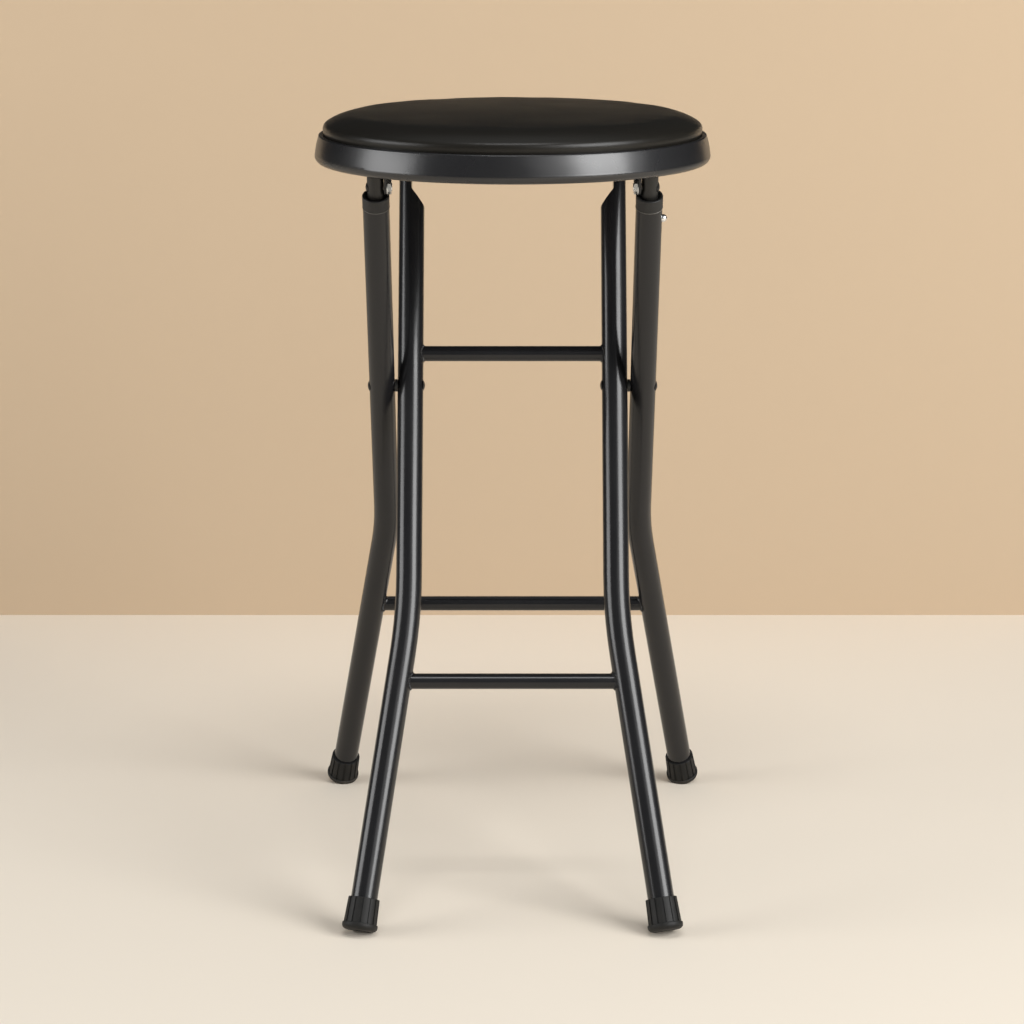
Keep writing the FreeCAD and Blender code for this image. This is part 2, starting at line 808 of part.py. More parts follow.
def make_pan():
    top_radius = seat_radius - band_inset
    belly_height = band_bottom + band_belly_rise
    middle_height = (belly_height + seam_height) / 2
    middle_radius = seat_radius - band_swell
    roll_turn = band_roll * turn_share
    inner_foot = seat_radius - band_hem
    hem_end = seat_radius - band_roll
    inner_belly = seat_radius - pan_wall
    # The band's wall and the tray's wall stand side by side, with a groove between them.
    groove_top = seam_height - tray_rim_radius - pan_wall
    groove_outside = top_radius - pan_wall
    groove_inside = tray_radius + pan_wall
    rim_turn = tray_rim_radius * turn_share
    outline = [
        [(0, tray_height), (tray_radius, tray_height)],
        [(tray_radius, tray_height), (tray_radius, seam_height - tray_rim_radius)],
        [
            (tray_radius, seam_height - tray_rim_radius),
            (tray_radius + rim_turn, seam_height - rim_turn),
            (tray_radius + tray_rim_radius, seam_height),
        ],
        [(tray_radius + tray_rim_radius, seam_height), (top_radius - tray_rim_radius, seam_height)],
        [
            (top_radius - tray_rim_radius, seam_height),
            (top_radius - rim_turn, seam_height - rim_turn),
            (top_radius, seam_height - tray_rim_radius),
        ],
        [
            (top_radius, seam_height - tray_rim_radius),
            (middle_radius, middle_height),
            (seat_radius, belly_height),
        ],
        [
            (seat_radius, belly_height),
            (seat_radius - roll_turn, band_bottom + roll_turn),
            (seat_radius - band_roll, band_bottom),
        ],
        [(seat_radius - band_roll, band_bottom), (inner_foot, band_bottom)],
        [(inner_foot, band_bottom), (inner_foot, band_bottom + pan_wall)],
        [(inner_foot, band_bottom + pan_wall), (hem_end, band_bottom + pan_wall)],
        [(hem_end, band_bottom + pan_wall), (inner_belly, belly_height)],
        [(inner_belly, belly_height), (groove_outside, groove_top)],
        [(groove_outside, groove_top), (groove_inside, groove_top)],
        [(groove_inside, groove_top), (groove_inside, shelf_under)],
        [(groove_inside, shelf_under), (0, shelf_under)],
        [(0, shelf_under), (0, tray_height)],
    ]
    pan = turned(outline)
    holes = []
    for x, y in all_bracket_rivets:
        holes.append(rivet_hole(x, y, bracket_rivet_diameter / 2 + fit_gap))
    for x, y in screw_places:
        holes.append(rivet_hole(x, y, screw_diameter / 2 + fit_gap))
    return pan.cut(holes)


def rivet_hole(x, y, radius):
    return Part.makeCylinder(
        radius, pan_wall + 2 * overrun, vec(x, y, shelf_under - overrun), z_axis
    )


board_radius = tray_radius - cushion_skin - soft_gap


def make_board():
    board = Part.makeCylinder(board_radius, board_thickness, vec(0, 0, tray_height), z_axis)
    pilots = []
    for x, y in screw_places:
        pilots.append(
            Part.makeCylinder(
                screw_diameter / 2 + fit_gap,
                screw_length - pan_wall + fit_gap,
                vec(x, y, tray_height),
                z_axis,
            )
        )
    return board.cut(pilots)


def make_cushion():
    # The cover wraps the board's edge, comes up out of the tray and swells over the band's rim.
    foot_radius = tray_radius - soft_gap
    foot_height = tray_height + soft_gap
    under_height = tray_height + board_thickness + soft_gap
    hollow_radius = board_radius + soft_gap
    seam_in_height = seam_height + soft_gap
    belly_radius = foot_radius + cushion_overhang
    belly_height = seam_height + cushion_seam_rise
    shoulder_radius = belly_radius - cushion_roll_width
    shoulder_height = stool_height - cushion_crown
    # The rolled edge is a small round that runs on into a large one, up to the shoulder.
    roll_height = shoulder_height - belly_height
    edge_centre_radius = belly_radius - cushion_edge_radius
    edge_run = cushion_roll_width - cushion_edge_radius
    swell_radius = (edge_run ** 2 + roll_height ** 2 - cushion_edge_radius ** 2) / (
        2 * (roll_height - cushion_edge_radius)
    )
    join_angle = math.acos(edge_run / (swell_radius - cushion_edge_radius))
    middle_angle = (join_angle + math.pi / 2) / 2

    def on_edge(angle):
        return (
            edge_centre_radius + cushion_edge_radius * math.cos(angle),
            belly_height + cushion_edge_radius * math.sin(angle),
        )

    def on_swell(angle):
        return (
            shoulder_radius + swell_radius * math.cos(angle),
            shoulder_height - swell_radius + swell_radius * math.sin(angle),
        )

    seam_belly_height = seam_in_height + (belly_height - seam_in_height) * cushion_seam_share
    seam_belly_radius = foot_radius + cushion_overhang * (1 - cushion_seam_share ** 2)
    crown_radius = (shoulder_radius ** 2 + cushion_crown ** 2) / (2 * cushion_crown)
    crown_middle = shoulder_radius / 2
    crown_drop = crown_radius - math.sqrt(crown_radius ** 2 - crown_middle ** 2)
    outline = [
        [(hollow_radius, foot_height), (foot_radius, foot_height)],
        [(foot_radius, foot_height), (foot_radius, seam_in_height)],
        [
            (foot_radius, seam_in_height),
            (seam_belly_radius, seam_belly_height),
            (belly_radius, belly_height),
        ],
        [(belly_radius, belly_height), on_edge(join_angle / 2), on_edge(join_angle)],
        [on_edge(join_angle), on_swell(middle_angle), (shoulder_radius, shoulder_height)],
        [
            (shoulder_radius, shoulder_height),
            (crown_middle, stool_height - crown_drop),
            (0, stool_height),
        ],
        [(0, stool_height), (0, under_height)],
        [(0, under_height), (hollow_radius, under_height)],
        [(hollow_radius, under_height), (hollow_radius, foot_height)],
    ]
    return turned(outline)


def make_screw(x, y):
    shank = Part.makeCylinder(screw_diameter / 2, screw_length, vec(x, y, shelf_under), z_axis)
    head_radius = screw_head_diameter / 2
    ball_radius = (head_radius ** 2 + screw_head_height ** 2) / (2 * screw_head_height)
    low_z = shelf_under - screw_head_height
    ball = Part.makeSphere(ball_radius, vec(x, y, low_z + ball_radius))
    head = ball.common(Part.makeCylinder(head_radius, screw_head_height, vec(x, y, low_z), z_axis))
    return shank.fuse(head).removeSplitter()


# Inner frame
save_pair("inner_leg", lean_back(make_inner_leg()))
upper_place = along(upper_bar_height)
save("upper_crossbar", lean_back(make_crossbar(inner_rod, upper_place, inner_x)))
footrest_place = along(footrest_bar_height)
footrest_x = bar_end(inner_x, inner_bend, inner_splay, footrest_place)
save("footrest_crossbar", lean_back(make_crossbar(inner_rod, footrest_place, footrest_x)))
foot_cap = make_cap()
save_pair("front_foot_cap", placed_cap(foot_cap, inner_x, inner_bend, inner_splay, lean_back))

# Outer frame
outer_leg = make_outer_leg()
save("outer_leg_left", mirrored(lean_forward(outer_leg)))
save("outer_leg_right", lean_forward(outer_leg.cut(make_button_hole())))
rear_x = bar_end(outer_x, outer_bend, outer_splay, rear_bar_place)
save("rear_crossbar", lean_forward(make_crossbar(outer_rod, rear_bar_place, rear_x)))
save_pair("rear_foot_cap", placed_cap(foot_cap, outer_x, outer_bend, outer_splay, lean_forward))
save_pair("guide_collar", lean_forward(make_collar()))
save_pair("crossing_rivet", lean_forward(make_crossing_rivet()))
spacer = lean_forward(make_crossing_spacer())
save("crossing_spacers", Part.makeCompound([spacer, mirrored(spacer)]))
save("lock_spring", lean_forward(make_leaf()))

# Slides and lock
save("slide_tube_right", lean_forward(make_slide_tube(True)))
save("slide_tube_left", mirrored(lean_forward(make_slide_tube(False))))
save_pair("slide_glides", lean_forward(make_glides()))
save_pair("front_bolt", lean_forward(make_front_bolt()))
save("lock_button", lean_forward(make_button()))

# Seat
save("seat_pan", make_pan())
save("cushion_board", make_board())
save("seat_cushion", make_cushion())
save("pad_screws", Part.makeCompound([make_screw(x, y) for x, y in screw_places]))
front_hole = front_bolt_diameter / 2
rear_hole = rear_rivet_diameter / 2 + fit_gap
save_pair("front_bracket", make_bracket(front_ear_x, -pin_y, front_hole))
save_pair("rear_bracket", make_bracket(rear_ear_x, pin_y, rear_hole))
rivets = [make_bracket_rivet(x, y) for x, y in all_bracket_rivets]
save("bracket_rivets", Part.makeCompound(rivets))
for node, piece in (
    ("front_bolt_ends", make_front_bolt_end()),
    ("front_washers", make_washer()),
    ("front_nuts", make_nut()),
    ("rear_pivot_rivets", make_rear_rivet()),
):
    save(node, Part.makeCompound([piece, mirrored(piece)]))

print("fold travel, degrees:", round(math.degrees(fold_travel), 4))
print("seat swing, degrees:", round(math.degrees(seat_swing), 4))
print("slide travel:", round(slide_travel, 4))
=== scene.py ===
import json
import math

import bmesh
import bpy
import numpy as np
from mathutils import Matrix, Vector


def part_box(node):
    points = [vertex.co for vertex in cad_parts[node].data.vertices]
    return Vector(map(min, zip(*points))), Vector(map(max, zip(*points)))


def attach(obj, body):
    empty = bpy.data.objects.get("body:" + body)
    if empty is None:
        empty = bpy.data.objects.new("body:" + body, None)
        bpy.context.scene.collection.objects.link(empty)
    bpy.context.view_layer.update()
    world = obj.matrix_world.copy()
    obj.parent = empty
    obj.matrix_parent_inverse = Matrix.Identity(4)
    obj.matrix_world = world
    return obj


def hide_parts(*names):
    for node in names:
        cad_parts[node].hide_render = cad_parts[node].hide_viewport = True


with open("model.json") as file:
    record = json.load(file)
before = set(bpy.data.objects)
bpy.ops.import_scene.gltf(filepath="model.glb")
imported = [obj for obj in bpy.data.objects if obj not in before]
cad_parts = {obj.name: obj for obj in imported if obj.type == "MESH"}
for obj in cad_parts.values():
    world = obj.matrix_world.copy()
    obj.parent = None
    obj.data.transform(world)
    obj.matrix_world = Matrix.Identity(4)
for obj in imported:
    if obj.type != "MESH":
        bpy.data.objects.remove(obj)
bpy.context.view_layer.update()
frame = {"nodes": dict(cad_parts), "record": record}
nodes = frame["nodes"]
slotOf = {part["node"]: part["material_slot"] for part in frame["record"]["subparts"]}
mm = 0.001
print("frame loaded, CAD pieces:", len(nodes))


# helpers for colours, nodes and meshes

# Some nodes have several sockets of one name, which are told apart by their place.
mixShare, mixFrom, mixTo, mixResult = 0, 6, 7, 2
randomLeast, randomMost, randomSeed, randomResult = 2, 3, 8, 1


def linearOf(hexText):
    channels = [int(hexText[i:i + 2], 16) / 255 for i in (1, 3, 5)]
    linear = [c / 12.92 if c <= 0.04045 else ((c + 0.055) / 1.055) ** 2.4 for c in channels]
    return (*linear, 1.0)


def addNode(tree, kind, inputs=None, **settings):
    node = tree.nodes.new(kind)  # settings are set first, because some change the node's sockets
    for name, value in settings.items():
        setattr(node, name, value)
    for key, value in (inputs or {}).items():
        if isinstance(value, bpy.types.NodeSocket):
            tree.links.new(value, node.inputs[key])
        else:
            node.inputs[key].default_value = value
    return node


def startMaterial(name, **shaderInputs):
    material = bpy.data.materials.new(name)
    material.use_nodes = True
    tree = material.node_tree
    tree.nodes.clear()
    shader = addNode(tree, "ShaderNodeBsdfPrincipled", shaderInputs)
    addNode(tree, "ShaderNodeOutputMaterial", {"Surface": shader.outputs[0]})
    place = addNode(tree, "ShaderNodeTexCoord").outputs["Object"]
    return material, tree, shader, place


def perMetre(sizeMm):
    return 1000.0 / sizeMm  # a pattern's scale on Object coordinates, from its real size


def patchShare(tree, place, sizeMm, span, values, detail=4.0, roughness=0.6):
    # Soft patches of a real size: the noise over its span goes from the first value to the second.
    noise = addNode(tree, "ShaderNodeTexNoise", {
        "Vector": place, "Scale": perMetre(sizeMm), "Detail": detail, "Roughness": roughness,
    })
    return addNode(tree, "ShaderNodeMapRange", {
        "Value": noise.outputs["Fac"], "From Min": span[0], "From Max": span[1],
        "To Min": values[0], "To Max": values[1],
    }).outputs["Result"]


def dimpled(tree, place, sizeMm, depthMm, strength=1.0, detail=1.5, under=None):
    # A fine uneven skin of a real size and depth, laid over the normal that comes from under it.
    noise = addNode(tree, "ShaderNodeTexNoise", {
        "Vector": place, "Scale": perMetre(sizeMm), "Detail": detail,
    })
    inputs = {"Height": noise.outputs["Fac"], "Distance": depthMm * mm, "Strength": strength}
    if under is not None:
        inputs["Normal"] = under
    return addNode(tree, "ShaderNodeBump", inputs).outputs["Normal"]


def makeMesh(name, points, faces, material, smooth=True):
    mesh = bpy.data.meshes.new(name)
    mesh.from_pydata([tuple(p) for p in points], [], [tuple(f) for f in faces])
    mesh.validate()
    mesh.polygons.foreach_set("use_smooth", [smooth] * len(mesh.polygons))
    mesh.materials.append(material)
    piece = bpy.data.objects.new(name, mesh)
    bpy.context.scene.collection.objects.link(piece)
    return piece


def faceOutwards(piece, mergeWithin=1e-6):
    work = bmesh.new()
    work.from_mesh(piece.data)
    bmesh.ops.remove_doubles(work, verts=work.verts, dist=mergeWithin)
    bmesh.ops.recalc_face_normals(work, faces=work.faces)
    work.to_mesh(piece.data)
    work.free()


# materials, where sizes and depths are in millimetres

tubeCoat = {
    "colour": "#161618", "worn": "#262422", "ior": 1.5, "specular": 0.45,
    "roughness": 0.22, "roughnessSpread": 0.04, "sheenSpan": (0.3, 0.75),
    "peelMm": 2.4, "peelDepth": 0.006, "grainMm": 0.6, "grainDepth": 0.0015,
    "hazeMm": 60.0, "hazeSpan": (0.3, 0.8), "haze": 0.10,
    "dustMm": 1.4, "dustSpan": (0.45, 0.75), "dustDetail": 3.0, "dust": 0.012, "dustColour": "#6f6a62",
}
panCoat = dict(tubeCoat, roughness=0.29, specular=0.66, peelMm=3.0, peelDepth=0.008, dust=0.008)
slideCoat = dict(tubeCoat, colour="#191816", roughness=0.42, roughnessSpread=0.10, dust=0.03)
headCoat = dict(tubeCoat, colour="#161616", roughness=0.33, peelMm=1.2, peelDepth=0.005)


def roughnessRange(look):
    middle, spread = look["roughness"], look["roughnessSpread"]
    return middle - spread, middle + spread


def makePowderCoat(name, look):
    # Steel with a baked black powder coat: an even semi-gloss skin with fine orange peel, which
    # breaks the edges of every reflection a little, and a thin haze of dust where hands miss.
    material, tree, shader, place = startMaterial(
        name, **{"Specular IOR Level": look["specular"], "IOR": look["ior"]}
    )
    haze = patchShare(tree, place, look["hazeMm"], look["hazeSpan"], (0.0, look["haze"]))
    hazed = addNode(tree, "ShaderNodeMix", {
        mixShare: haze, mixFrom: linearOf(look["colour"]), mixTo: linearOf(look["worn"]),
    }, data_type="RGBA").outputs[mixResult]
    dust = patchShare(
        tree, place, look["dustMm"], look["dustSpan"], (0.0, look["dust"]), look["dustDetail"]
    )
    dusted = addNode(tree, "ShaderNodeMix", {
        mixShare: dust, mixFrom: hazed, mixTo: linearOf(look["dustColour"]),
    }, data_type="RGBA").outputs[mixResult]
    tree.links.new(dusted, shader.inputs["Base Color"])
    sheen = patchShare(tree, place, look["hazeMm"], look["sheenSpan"], roughnessRange(look))
    tree.links.new(sheen, shader.inputs["Roughness"])
    peel = dimpled(tree, place, look["peelMm"], look["peelDepth"])
    grain = dimpled(tree, place, look["grainMm"], look["grainDepth"], under=peel)
    tree.links.new(grain, shader.inputs["Normal"])
    return material


vinylLook = {
    "colour": "#1c1a16", "darkToneAndCreaseShade": "#12100e", "ior": 1.5, "specular": 0.28,
    "roughness": 0.30, "roughnessSpread": 0.025,
    "toneMm": 40.0, "toneSpan": (0.3, 0.7), "toneShare": 0.18,
    "grainMm": 1.1, "grainDepth": 0.022, "grainStrength": 0.8, "grainUneven": 0.95, "grainEdge": 0.16,
    # The next values set the painted shade in the grooves between the grain's cells.
    "creaseShadeEdge": 0.10, "creaseShadeShare": 0.45,
    "poreMm": 0.45, "poreDepth": 0.008, "poreStrength": 0.8, "poreDetail": 2.0,
    "swellMm": 90.0, "swellDepth": 0.12, "swellStrength": 0.6,
}


def makeVinyl(name, look):
    # Calendered vinyl on a knit backing: shallow leather-like cells in the skin, a soft dull sheen,
    # and a slow rise and fall from the foam below.
    material, tree, shader, place = startMaterial(
        name, **{"Specular IOR Level": look["specular"], "IOR": look["ior"]}
    )
    cells = addNode(tree, "ShaderNodeTexVoronoi", {
        "Vector": place, "Scale": perMetre(look["grainMm"]), "Randomness": look["grainUneven"],
    }, feature="DISTANCE_TO_EDGE").outputs["Distance"]
    skin = addNode(tree, "ShaderNodeMapRange", {
        "Value": cells, "From Max": look["grainEdge"],
    }).outputs["Result"]
    # Painted shade: the grooves between the cells are darkened towards the dark tone colour.
    darkToneAndCreaseShade = addNode(tree, "ShaderNodeMapRange", {
        "Value": cells, "From Max": look["creaseShadeEdge"], "To Min": look["creaseShadeShare"], "To Max": 0.0,
    }).outputs["Result"]
    tone = patchShare(tree, place, look["toneMm"], look["toneSpan"], (0.0, look["toneShare"]))
    toned = addNode(tree, "ShaderNodeMix", {
        mixShare: tone, mixFrom: linearOf(look["colour"]), mixTo: linearOf(look["darkToneAndCreaseShade"]),
    }, data_type="RGBA").outputs[mixResult]
    creaseShaded = addNode(tree, "ShaderNodeMix", {
        mixShare: darkToneAndCreaseShade, mixFrom: toned, mixTo: linearOf(look["darkToneAndCreaseShade"]),
    }, data_type="RGBA").outputs[mixResult]
    tree.links.new(creaseShaded, shader.inputs["Base Color"])
    sheen = patchShare(tree, place, look["toneMm"], look["toneSpan"], roughnessRange(look))
    tree.links.new(sheen, shader.inputs["Roughness"])
    swell = dimpled(tree, place, look["swellMm"], look["swellDepth"], look["swellStrength"])
    folds = addNode(tree, "ShaderNodeBump", {
        "Height": skin, "Distance": look["grainDepth"] * mm, "Strength": look["grainStrength"],
        "Normal": swell,
    }).outputs["Normal"]
    pores = dimpled(
        tree, place, look["poreMm"], look["poreDepth"], look["poreStrength"], look["poreDetail"], folds
    )
    tree.links.new(pores, shader.inputs["Normal"])
    return material


rubberLook = {
    "colour": "#131312", "chalk": "#35322f", "dirt": "#6b6255", "roughness": 0.56, "specular": 0.32,
    "speckMm": 0.5, "speckDepth": 0.02, "speckStrength": 0.7, "speckDetail": 2.0,
    "bloomMm": 9.0, "bloomSpan": (0.45, 0.8), "bloomShare": 0.20,
    "dirtHeight": 6.0, "dirtShare": 0.30, "dirtSpan": (0.35, 0.65), "dirtLeast": 0.2,
}


def makeRubber(name, look):
    # Moulded black rubber: a dull skin from a fine sanded mould, a chalky bloom in patches, and
    # floor dust round the sole.
    material, tree, shader, place = startMaterial(
        name, **{"Specular IOR Level": look["specular"], "Roughness": look["roughness"]}
    )
    bloom = patchShare(tree, place, look["bloomMm"], look["bloomSpan"], (0.0, look["bloomShare"]))
    bloomed = addNode(tree, "ShaderNodeMix", {
        mixShare: bloom, mixFrom: linearOf(look["colour"]), mixTo: linearOf(look["chalk"]),
    }, data_type="RGBA").outputs[mixResult]
    height = addNode(tree, "ShaderNodeSeparateXYZ", {"Vector": place}).outputs["Z"]
    low = addNode(tree, "ShaderNodeMapRange", {
        "Value": height, "From Max": look["dirtHeight"] * mm, "To Min": look["dirtShare"], "To Max": 0.0,
    }).outputs["Result"]
    patches = patchShare(tree, place, look["bloomMm"], look["dirtSpan"], (look["dirtLeast"], 1.0))
    dusty = addNode(tree, "ShaderNodeMath", {0: low, 1: patches}, operation="MULTIPLY").outputs[0]
    dirtied = addNode(tree, "ShaderNodeMix", {
        mixShare: dusty, mixFrom: bloomed, mixTo: linearOf(look["dirt"]),
    }, data_type="RGBA").outputs[mixResult]
    tree.links.new(dirtied, shader.inputs["Base Color"])
    specks = dimpled(
        tree, place, look["speckMm"], look["speckDepth"], look["speckStrength"], look["speckDetail"]
    )
    tree.links.new(specks, shader.inputs["Normal"])
    return material


nylonLook = {
    "colour": "#1a1a1a", "scuff": "#3a3936", "roughness": 0.42, "roughnessRise": 0.12, "specular": 0.42,
    "textureMm": 0.6, "textureDepth": 0.012, "textureStrength": 0.7, "textureDetail": 2.0,
    "rubMm": 5.0, "rubSpan": (0.48, 0.8), "rubShare": 0.35, "dullSpan": (0.3, 0.8), "rubDetail": 5.0,
}
# Painted highlight: the collar lip is pale grey so that it shows as a bright line on the black collar.
lipPaintedHighlightLook = dict(nylonLook, colour="#65625c", scuff="#7d7a72", roughness=0.30)
acetalLook = dict(
    nylonLook, colour="#d9d6cc", scuff="#a39d90", roughness=0.38, textureMm=0.8, textureDepth=0.008
)


def makeMouldedPlastic(name, look):
    # Injection-moulded plastic with a spark-eroded texture, rubbed duller in patches.
    material, tree, shader, place = startMaterial(name, **{"Specular IOR Level": look["specular"]})
    detail = look["rubDetail"]
    rub = patchShare(tree, place, look["rubMm"], look["rubSpan"], (0.0, look["rubShare"]), detail)
    rubbed = addNode(tree, "ShaderNodeMix", {
        mixShare: rub, mixFrom: linearOf(look["colour"]), mixTo: linearOf(look["scuff"]),
    }, data_type="RGBA").outputs[mixResult]
    tree.links.new(rubbed, shader.inputs["Base Color"])
    smoothest, dullest = look["roughness"], look["roughness"] + look["roughnessRise"]
    dull = patchShare(tree, place, look["rubMm"], look["dullSpan"], (smoothest, dullest), detail)
    tree.links.new(dull, shader.inputs["Roughness"])
    texture = dimpled(
        tree, place, look["textureMm"], look["textureDepth"], look["textureStrength"], look["textureDetail"]
    )
    tree.links.new(texture, shader.inputs["Normal"])
    return material


zincLook = {
    "colour": "#eff0ef", "shade": "#c9ccce", "roughness": 0.20, "roughnessRise": 0.10, "spangleMm": 1.6,
    "scratchMm": 0.25, "scratchDepth": 0.002, "scratchStrength": 0.5, "scratchDetail": 1.0,
    "scratchStretch": (0.15, 1.0, 1.0),
}
springLook = dict(
    zincLook, colour="#9a9ca0", shade="#6b6d72", roughness=0.30, spangleMm=3.0, scratchMm=0.15
)
chromeLook = dict(
    zincLook, colour="#f4f4f4", shade="#e0e1e2", roughness=0.16, spangleMm=4.0, scratchMm=0.4
)


def makePlatedSteel(name, look):
    # Plated or bare steel: a metal whose tone shifts from crystal to crystal, with hair scratches.
    material, tree, shader, place = startMaterial(name, Metallic=1.0)
    spangle = addNode(tree, "ShaderNodeTexVoronoi", {
        "Vector": place, "Scale": perMetre(look["spangleMm"]),
    }).outputs["Color"]
    tone = addNode(tree, "ShaderNodeSeparateColor", {"Color": spangle}).outputs["Red"]
    toned = addNode(tree, "ShaderNodeMix", {
        mixShare: tone, mixFrom: linearOf(look["colour"]), mixTo: linearOf(look["shade"]),
    }, data_type="RGBA").outputs[mixResult]
    tree.links.new(toned, shader.inputs["Base Color"])
    rough = addNode(tree, "ShaderNodeMapRange", {
        "Value": tone, "To Min": look["roughness"], "To Max": look["roughness"] + look["roughnessRise"],
    }).outputs["Result"]
    tree.links.new(rough, shader.inputs["Roughness"])
    along = addNode(tree, "ShaderNodeMapping", {
        "Vector": place, "Scale": look["scratchStretch"],
    }).outputs["Vector"]
    scratches = dimpled(
        tree, along, look["scratchMm"], look["scratchDepth"], look["scratchStrength"], look["scratchDetail"]
    )
    tree.links.new(scratches, shader.inputs["Normal"])
    return material


boardLook = {
    "light": "#c7a06c", "dark": "#8d6638", "glue": "#5b3f24", "roughness": 0.62,
    "figureMm": 84.0, "figureStretch": (1.0, 0.12, 1.0), "figureBend": 6.0, "figureDetail": 3.0,
    "plyMm": 1.5, "glueSpan": (0.86, 0.95), "glueShare": 0.7, "grainDepth": 0.03, "grainStrength": 0.5,
}


def makePlywood(name, look):
    # Birch plywood: long flame figure on the faces and thin glue lines between the plies.
    material, tree, shader, place = startMaterial(name, Roughness=look["roughness"])
    stretched = addNode(tree, "ShaderNodeMapping", {
        "Vector": place, "Scale": look["figureStretch"],
    }).outputs["Vector"]
    figure = addNode(tree, "ShaderNodeTexWave", {
        "Vector": stretched, "Scale": perMetre(look["figureMm"]), "Distortion": look["figureBend"],
        "Detail": look["figureDetail"],
    }).outputs["Fac"]
    wood = addNode(tree, "ShaderNodeMix", {
        mixShare: figure, mixFrom: linearOf(look["light"]), mixTo: linearOf(look["dark"]),
    }, data_type="RGBA").outputs[mixResult]
    height = addNode(tree, "ShaderNodeSeparateXYZ", {"Vector": place}).outputs["Z"]
    plies = addNode(tree, "ShaderNodeMath", {
        0: height, 1: perMetre(look["plyMm"]),
    }, operation="MULTIPLY").outputs[0]
    ply = addNode(tree, "ShaderNodeMath", {0: plies}, operation="FRACT").outputs[0]
    line = addNode(tree, "ShaderNodeMapRange", {
        "Value": ply, "From Min": look["glueSpan"][0], "From Max": look["glueSpan"][1],
        "To Max": look["glueShare"],
    }).outputs["Result"]
    glued = addNode(tree, "ShaderNodeMix", {
        mixShare: line, mixFrom: wood, mixTo: linearOf(look["glue"]),
    }, data_type="RGBA").outputs[mixResult]
    tree.links.new(glued, shader.inputs["Base Color"])
    grain = addNode(tree, "ShaderNodeBump", {
        "Height": figure, "Distance": look["grainDepth"] * mm, "Strength": look["grainStrength"],
    }).outputs["Normal"]
    tree.links.new(grain, shader.inputs["Normal"])
    return material


finishes = {
    "frame_paint": makePowderCoat("powderCoatedTube", tubeCoat),
    "pan_enamel": makePowderCoat("powderCoatedPan", panCoat),
    "slide_paint": makePowderCoat("rubbedSlidePaint", slideCoat),
    "dark_hardware": makePowderCoat("paintedRivetHeads", headCoat),
    "vinyl": makeVinyl("calenderedVinyl", vinylLook),
    "cap_rubber": makeRubber("mouldedRubber", rubberLook),
    "collar_plastic": makeMouldedPlastic("blackNylon", nylonLook),
    "glide_plastic": makeMouldedPlastic("naturalAcetal", acetalLook),
    "zinc_hardware": makePlatedSteel("zincPlate", zincLook),
    "spring_steel": makePlatedSteel("springSteel", springLook),
    "button_chrome": makePlatedSteel("brightPlate", chromeLook),
    "board": makePlywood("birchPlywood", boardLook),
}
for name, piece in nodes.items():
    piece.data.materials.clear()
    piece.data.materials.append(finishes[slotOf[name]])
print("finishes made:", len(finishes))


# seat cushion: a round grid for the top, rings down its side and up the hollow over the board

cushionForm = {
    "gridSteps": 52, "crown": 1.6, "rollWidth": 24.5, "rollSteps": 8, "edgeRadius": 6.0, "edgeSteps": 5,
    "seamDrop": 17.5, "bellyRise": 4.1, "neckInsets": (0.1, 0.35), "overhang": 0.9,
    "skin": 5.0, "boardRise": 9.3, "sideSteps": 3, "fill": 0.9,
    "heldWidth": 14.0, "heldRise": 4.0, "heldSideShare": 0.6, "pinnedFrom": 0.95,
    "clothSteps": 20, "clothQuality": 6, "clothMass": 0.35, "pressure": 4.0,
    "stretchStiffness": 18.0, "bendStiffness": 1.5,
    "startSmaller": 0.6, "moveCap": 0.9, "evenRounds": 12, "finerLevels": 1,
}


def diskGrid(steps):
    # A square grid bent into a disk of radius 1, with its outline in order.
    half = steps // 2
    points, rows = [], {}
    for i in range(steps + 1):
        for j in range(steps + 1):
            a, b = (i - half) / half, (j - half) / half
            if a == 0 and b == 0:
                radius, angle = 0.0, 0.0
            elif abs(a) > abs(b):
                radius, angle = a, math.pi / 4 * b / a
            else:
                radius, angle = b, math.pi / 2 - math.pi / 4 * a / b
            rows[i, j] = len(points)
            points.append((radius * math.cos(angle), radius * math.sin(angle)))
    faces = []
    for i in range(steps):
        for j in range(steps):
            faces.append((rows[i, j], rows[i + 1, j], rows[i + 1, j + 1], rows[i, j + 1]))
    edge = [rows[i, 0] for i in range(steps)]
    edge += [rows[steps, j] for j in range(steps)]
    edge += [rows[i, steps] for i in range(steps, 0, -1)]
    edge += [rows[0, j] for j in range(steps, 0, -1)]
    return points, faces, edge


def stepsTo(start, end, count):
    return np.linspace(start, end, count + 1)[1:]


def cushionProfile(look, low, high, outerRadius):
    # Radius and height pairs from the shoulder down the side and round into the hollow.
    foot = outerRadius - look["overhang"] * mm
    seam = high.z - look["seamDrop"] * mm
    belly = seam + look["bellyRise"] * mm
    shoulder = high.z - look["crown"] * mm
    shoulderRadius = outerRadius - look["rollWidth"] * mm
    small = look["edgeRadius"] * mm
    run, rise = look["rollWidth"] * mm - small, shoulder - belly
    # The large arc leaves the shoulder level and meets the small one, which ends upright.
    large = (run ** 2 + rise ** 2 - small ** 2) / (2 * (rise - small))
    join = math.acos(run / (large - small))
    path = []
    for angle in stepsTo(math.pi / 2, join, look["rollSteps"]):
        path.append((shoulderRadius + large * math.cos(angle), shoulder - large + large * math.sin(angle)))
    for angle in stepsTo(join, 0, look["edgeSteps"]):
        path.append((outerRadius - small + small * math.cos(angle), belly + small * math.sin(angle)))
    neckParts = len(look["neckInsets"]) + 1
    for part, inset in enumerate(look["neckInsets"], 1):
        height = (belly * (neckParts - part) + seam * part) / neckParts
        path.append((outerRadius - inset * mm, height))
    path.append((foot, seam))
    for height in stepsTo(seam, low.z, look["sideSteps"]):
        path.append((foot, height))
    for radius in stepsTo(foot, foot - look["skin"] * mm, look["sideSteps"]):
        path.append((radius, low.z))
    for height in stepsTo(low.z, low.z + look["boardRise"] * mm, look["sideSteps"]):
        path.append((foot - look["skin"] * mm, height))
    return path, shoulderRadius


